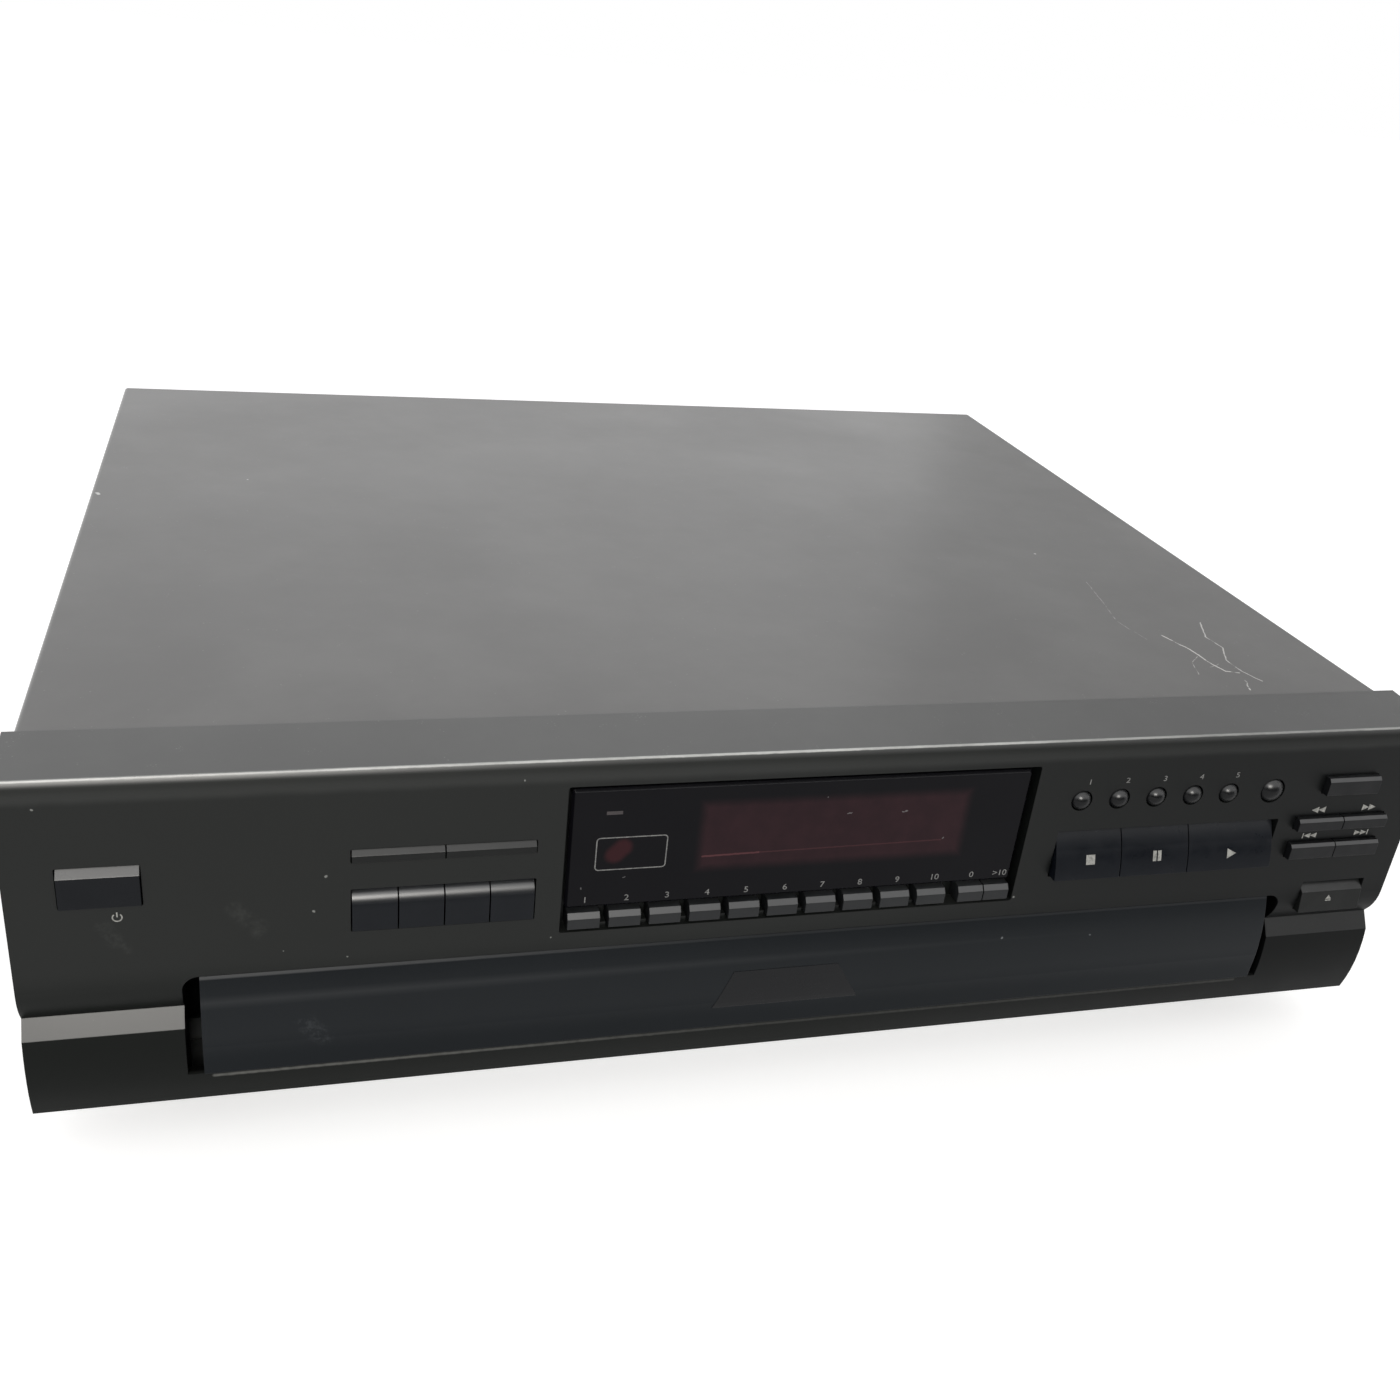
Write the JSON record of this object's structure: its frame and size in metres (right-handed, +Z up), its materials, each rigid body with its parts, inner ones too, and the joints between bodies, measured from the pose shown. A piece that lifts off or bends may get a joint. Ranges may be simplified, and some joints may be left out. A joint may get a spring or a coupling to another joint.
{
  "type": "multi disc changer",
  "caption": "Full width hi-fi disc changer with a wide motor drawer that carries a carousel, a display window over a row of keys, and a steel cover on round feet.",
  "frame": {"origin": "on the surface the feet stand on, under the middle of the bounding box", "axes": "+X to the right as the player is looked at, +Y to the back, +Z up; the drawer opens along -Y"},
  "size_m": [0.43, 0.3748, 0.125],
  "materials": {
    "panel_moulding": "satin black moulding, fine texture",
    "cover_paint": "satin black paint on steel sheet",
    "zinc_steel": "zinc coated sheet",
    "rear_paint": "satin black paint",
    "foot_moulding": "black moulding",
    "screw_black": "black plated screws",
    "window_acrylic": "dark smoked acrylic, polished",
    "board": "printed board with components",
    "transformer": "laminated core and wound bobbin",
    "socket_moulding": "black moulding",
    "frame_moulding": "black moulding",
    "tray_moulding": "dark grey moulding",
    "drawer_moulding": "satin blue black moulding",
    "key_moulding": "satin black moulding",
    "gear_moulding": "natural acetal",
    "motor_steel": "plated can",
    "belt_rubber": "black belt"
  },
  "bodies": {
    "chassis": {"front_panel": "panel_moulding", "top_cover": "cover_paint", "chassis_base": "zinc_steel", "rear_panel": "rear_paint", "feet": "foot_moulding", "case_screws": "screw_black", "display_window": "window_acrylic", "front_board": "board", "main_board": "board", "power_transformer": "transformer", "rear_sockets": "socket_moulding", "loading_frame": "frame_moulding", "loading_motor": "motor_steel", "loading_belt": "belt_rubber", "clamp_bridge": "zinc_steel"},
    "drawer": {"drawer_tray": "tray_moulding", "drawer_front": "drawer_moulding", "carousel_motor": "motor_steel"},
    "carousel": {"carousel": "tray_moulding"},
    "carousel_pinion": {"carousel_pinion": "gear_moulding"},
    "loading_gear": {"loading_gear": "gear_moulding"},
    "motor_pulley": {"motor_pulley": "gear_moulding"},
    "deck": {"mech_cradle": "frame_moulding"},
    "spindle_hub": {"spindle_hub": "gear_moulding"},
    "pickup": {"pickup": "frame_moulding"},
    "clamper": {"clamper": "gear_moulding"},
    "power_key": {"power_key": "key_moulding"},
    "scan_key": {"scan_key": "key_moulding"},
    "edit_key": {"edit_key": "key_moulding"},
    "time_key": {"time_key": "key_moulding"},
    "spiral_key": {"spiral_key": "key_moulding"},
    "random_key": {"random_key": "key_moulding"},
    "repeat_key": {"repeat_key": "key_moulding"},
    "number_key_1": {"number_key_1": "key_moulding"},
    "number_key_2": {"number_key_2": "key_moulding"},
    "number_key_3": {"number_key_3": "key_moulding"},
    "number_key_4": {"number_key_4": "key_moulding"},
    "number_key_5": {"number_key_5": "key_moulding"},
    "number_key_6": {"number_key_6": "key_moulding"},
    "number_key_7": {"number_key_7": "key_moulding"},
    "number_key_8": {"number_key_8": "key_moulding"},
    "number_key_9": {"number_key_9": "key_moulding"},
    "number_key_10": {"number_key_10": "key_moulding"},
    "number_key_11": {"number_key_11": "key_moulding"},
    "number_key_12": {"number_key_12": "key_moulding"},
    "disc_key_1": {"disc_key_1": "key_moulding"},
    "disc_key_2": {"disc_key_2": "key_moulding"},
    "disc_key_3": {"disc_key_3": "key_moulding"},
    "disc_key_4": {"disc_key_4": "key_moulding"},
    "disc_key_5": {"disc_key_5": "key_moulding"},
    "disc_skip_key": {"disc_skip_key": "key_moulding"},
    "stop_key": {"stop_key": "key_moulding"},
    "pause_key": {"pause_key": "key_moulding"},
    "play_key": {"play_key": "key_moulding"},
    "program_key": {"program_key": "key_moulding"},
    "search_back_key": {"search_back_key": "key_moulding"},
    "search_forward_key": {"search_forward_key": "key_moulding"},
    "skip_back_key": {"skip_back_key": "key_moulding"},
    "skip_forward_key": {"skip_forward_key": "key_moulding"},
    "open_close_key": {"open_close_key": "key_moulding"}
  },
  "joints": [
    {"name": "drawer_slide", "type": "slide", "parent": "chassis", "child": "drawer", "axis": [0, -1, 0], "range_m": [0, 0.245]},
    {"name": "carousel_turn", "type": "hinge", "parent": "drawer", "child": "carousel", "pos_m": [0, 0.0056, 0.0502], "axis": [0, 0, 1], "continuous": true},
    {"name": "deck_lift", "type": "hinge", "parent": "chassis", "child": "deck", "pos_m": [-0.11, 0.1091, 0.0372], "axis": [0, -1, 0], "range_deg": [0, 5.22]},
    {"name": "pickup_travel", "type": "slide", "parent": "deck", "child": "pickup", "axis": [-0.9959, 0, 0.0909], "range_m": [0, 0.035]},
    {"name": "spindle_turn", "type": "hinge", "parent": "deck", "child": "spindle_hub", "pos_m": [-0.00046, 0.1091, 0.0272], "axis": [0.0909, 0, 0.9959], "continuous": true},
    {"name": "clamper_turn", "type": "hinge", "parent": "chassis", "child": "clamper", "pos_m": [0, 0.1091, 0.0592], "axis": [0, 0, 1], "continuous": true},
    {"name": "carousel_pinion_turn", "type": "hinge", "parent": "drawer", "child": "carousel_pinion", "pos_m": [-0.0594, -0.0538, 0.0442], "axis": [0, 0, 1], "continuous": true},
    {"name": "loading_gear_turn", "type": "hinge", "parent": "chassis", "child": "loading_gear", "pos_m": [0.12475, -0.1252, 0.0272], "axis": [0, 0, 1], "range_deg": [-1267.8, 20]},
    {"name": "motor_pulley_turn", "type": "hinge", "parent": "chassis", "child": "motor_pulley", "pos_m": [0.07675, -0.1252, 0.0252], "axis": [0, 0, 1], "range_deg": [-5001.2, 60]},
    {"name": "power_key_press", "type": "slide", "parent": "chassis", "child": "power_key", "axis": [0, 1, 0], "range_m": [0, 0.0015], "stiffness_N_per_m": 400, "springref_m": -0.001},
    {"name": "scan_key_press", "type": "slide", "parent": "chassis", "child": "scan_key", "axis": [0, 1, 0], "range_m": [0, 0.0015], "stiffness_N_per_m": 400, "springref_m": -0.001},
    {"name": "edit_key_press", "type": "slide", "parent": "chassis", "child": "edit_key", "axis": [0, 1, 0], "range_m": [0, 0.0015], "stiffness_N_per_m": 400, "springref_m": -0.001},
    {"name": "time_key_press", "type": "slide", "parent": "chassis", "child": "time_key", "axis": [0, 1, 0], "range_m": [0, 0.0015], "stiffness_N_per_m": 400, "springref_m": -0.001},
    {"name": "spiral_key_press", "type": "slide", "parent": "chassis", "child": "spiral_key", "axis": [0, 1, 0], "range_m": [0, 0.0015], "stiffness_N_per_m": 400, "springref_m": -0.001},
    {"name": "random_key_press", "type": "slide", "parent": "chassis", "child": "random_key", "axis": [0, 1, 0], "range_m": [0, 0.0015], "stiffness_N_per_m": 400, "springref_m": -0.001},
    {"name": "repeat_key_press", "type": "slide", "parent": "chassis", "child": "repeat_key", "axis": [0, 1, 0], "range_m": [0, 0.0015], "stiffness_N_per_m": 400, "springref_m": -0.001},
    {"name": "number_key_1_press", "type": "slide", "parent": "chassis", "child": "number_key_1", "axis": [0, 1, 0], "range_m": [0, 0.0015], "stiffness_N_per_m": 400, "springref_m": -0.001},
    {"name": "number_key_2_press", "type": "slide", "parent": "chassis", "child": "number_key_2", "axis": [0, 1, 0], "range_m": [0, 0.0015], "stiffness_N_per_m": 400, "springref_m": -0.001},
    {"name": "number_key_3_press", "type": "slide", "parent": "chassis", "child": "number_key_3", "axis": [0, 1, 0], "range_m": [0, 0.0015], "stiffness_N_per_m": 400, "springref_m": -0.001},
    {"name": "number_key_4_press", "type": "slide", "parent": "chassis", "child": "number_key_4", "axis": [0, 1, 0], "range_m": [0, 0.0015], "stiffness_N_per_m": 400, "springref_m": -0.001},
    {"name": "number_key_5_press", "type": "slide", "parent": "chassis", "child": "number_key_5", "axis": [0, 1, 0], "range_m": [0, 0.0015], "stiffness_N_per_m": 400, "springref_m": -0.001},
    {"name": "number_key_6_press", "type": "slide", "parent": "chassis", "child": "number_key_6", "axis": [0, 1, 0], "range_m": [0, 0.0015], "stiffness_N_per_m": 400, "springref_m": -0.001},
    {"name": "number_key_7_press", "type": "slide", "parent": "chassis", "child": "number_key_7", "axis": [0, 1, 0], "range_m": [0, 0.0015], "stiffness_N_per_m": 400, "springref_m": -0.001},
    {"name": "number_key_8_press", "type": "slide", "parent": "chassis", "child": "number_key_8", "axis": [0, 1, 0], "range_m": [0, 0.0015], "stiffness_N_per_m": 400, "springref_m": -0.001},
    {"name": "number_key_9_press", "type": "slide", "parent": "chassis", "child": "number_key_9", "axis": [0, 1, 0], "range_m": [0, 0.0015], "stiffness_N_per_m": 400, "springref_m": -0.001},
    {"name": "number_key_10_press", "type": "slide", "parent": "chassis", "child": "number_key_10", "axis": [0, 1, 0], "range_m": [0, 0.0015], "stiffness_N_per_m": 400, "springref_m": -0.001},
    {"name": "number_key_11_press", "type": "slide", "parent": "chassis", "child": "number_key_11", "axis": [0, 1, 0], "range_m": [0, 0.0015], "stiffness_N_per_m": 400, "springref_m": -0.001},
    {"name": "number_key_12_press", "type": "slide", "parent": "chassis", "child": "number_key_12", "axis": [0, 1, 0], "range_m": [0, 0.0015], "stiffness_N_per_m": 400, "springref_m": -0.001},
    {"name": "disc_key_1_press", "type": "slide", "parent": "chassis", "child": "disc_key_1", "axis": [0, 1, 0], "range_m": [0, 0.0015], "stiffness_N_per_m": 400, "springref_m": -0.001},
    {"name": "disc_key_2_press", "type": "slide", "parent": "chassis", "child": "disc_key_2", "axis": [0, 1, 0], "range_m": [0, 0.0015], "stiffness_N_per_m": 400, "springref_m": -0.001},
    {"name": "disc_key_3_press", "type": "slide", "parent": "chassis", "child": "disc_key_3", "axis": [0, 1, 0], "range_m": [0, 0.0015], "stiffness_N_per_m": 400, "springref_m": -0.001},
    {"name": "disc_key_4_press", "type": "slide", "parent": "chassis", "child": "disc_key_4", "axis": [0, 1, 0], "range_m": [0, 0.0015], "stiffness_N_per_m": 400, "springref_m": -0.001},
    {"name": "disc_key_5_press", "type": "slide", "parent": "chassis", "child": "disc_key_5", "axis": [0, 1, 0], "range_m": [0, 0.0015], "stiffness_N_per_m": 400, "springref_m": -0.001},
    {"name": "disc_skip_key_press", "type": "slide", "parent": "chassis", "child": "disc_skip_key", "axis": [0, 1, 0], "range_m": [0, 0.0015], "stiffness_N_per_m": 400, "springref_m": -0.001},
    {"name": "stop_key_press", "type": "slide", "parent": "chassis", "child": "stop_key", "axis": [0, 1, 0], "range_m": [0, 0.0015], "stiffness_N_per_m": 400, "springref_m": -0.001},
    {"name": "pause_key_press", "type": "slide", "parent": "chassis", "child": "pause_key", "axis": [0, 1, 0], "range_m": [0, 0.0015], "stiffness_N_per_m": 400, "springref_m": -0.001},
    {"name": "play_key_press", "type": "slide", "parent": "chassis", "child": "play_key", "axis": [0, 1, 0], "range_m": [0, 0.0015], "stiffness_N_per_m": 400, "springref_m": -0.001},
    {"name": "program_key_press", "type": "slide", "parent": "chassis", "child": "program_key", "axis": [0, 1, 0], "range_m": [0, 0.0015], "stiffness_N_per_m": 400, "springref_m": -0.001},
    {"name": "search_back_key_press", "type": "slide", "parent": "chassis", "child": "search_back_key", "axis": [0, 1, 0], "range_m": [0, 0.0015], "stiffness_N_per_m": 400, "springref_m": -0.001},
    {"name": "search_forward_key_press", "type": "slide", "parent": "chassis", "child": "search_forward_key", "axis": [0, 1, 0], "range_m": [0, 0.0015], "stiffness_N_per_m": 400, "springref_m": -0.001},
    {"name": "skip_back_key_press", "type": "slide", "parent": "chassis", "child": "skip_back_key", "axis": [0, 1, 0], "range_m": [0, 0.0015], "stiffness_N_per_m": 400, "springref_m": -0.001},
    {"name": "skip_forward_key_press", "type": "slide", "parent": "chassis", "child": "skip_forward_key", "axis": [0, 1, 0], "range_m": [0, 0.0015], "stiffness_N_per_m": 400, "springref_m": -0.001},
    {"name": "open_close_key_press", "type": "slide", "parent": "chassis", "child": "open_close_key", "axis": [0, 1, 0], "range_m": [0, 0.0015], "stiffness_N_per_m": 400, "springref_m": -0.001}
  ],
  "couplings": [
    {"joint": "carousel_pinion_turn", "follows": "carousel_turn", "ratio": -6},
    {"joint": "loading_gear_turn", "follows": "drawer_slide", "rad_per_m": -88.889},
    {"joint": "motor_pulley_turn", "follows": "drawer_slide", "rad_per_m": -352}
  ]
}
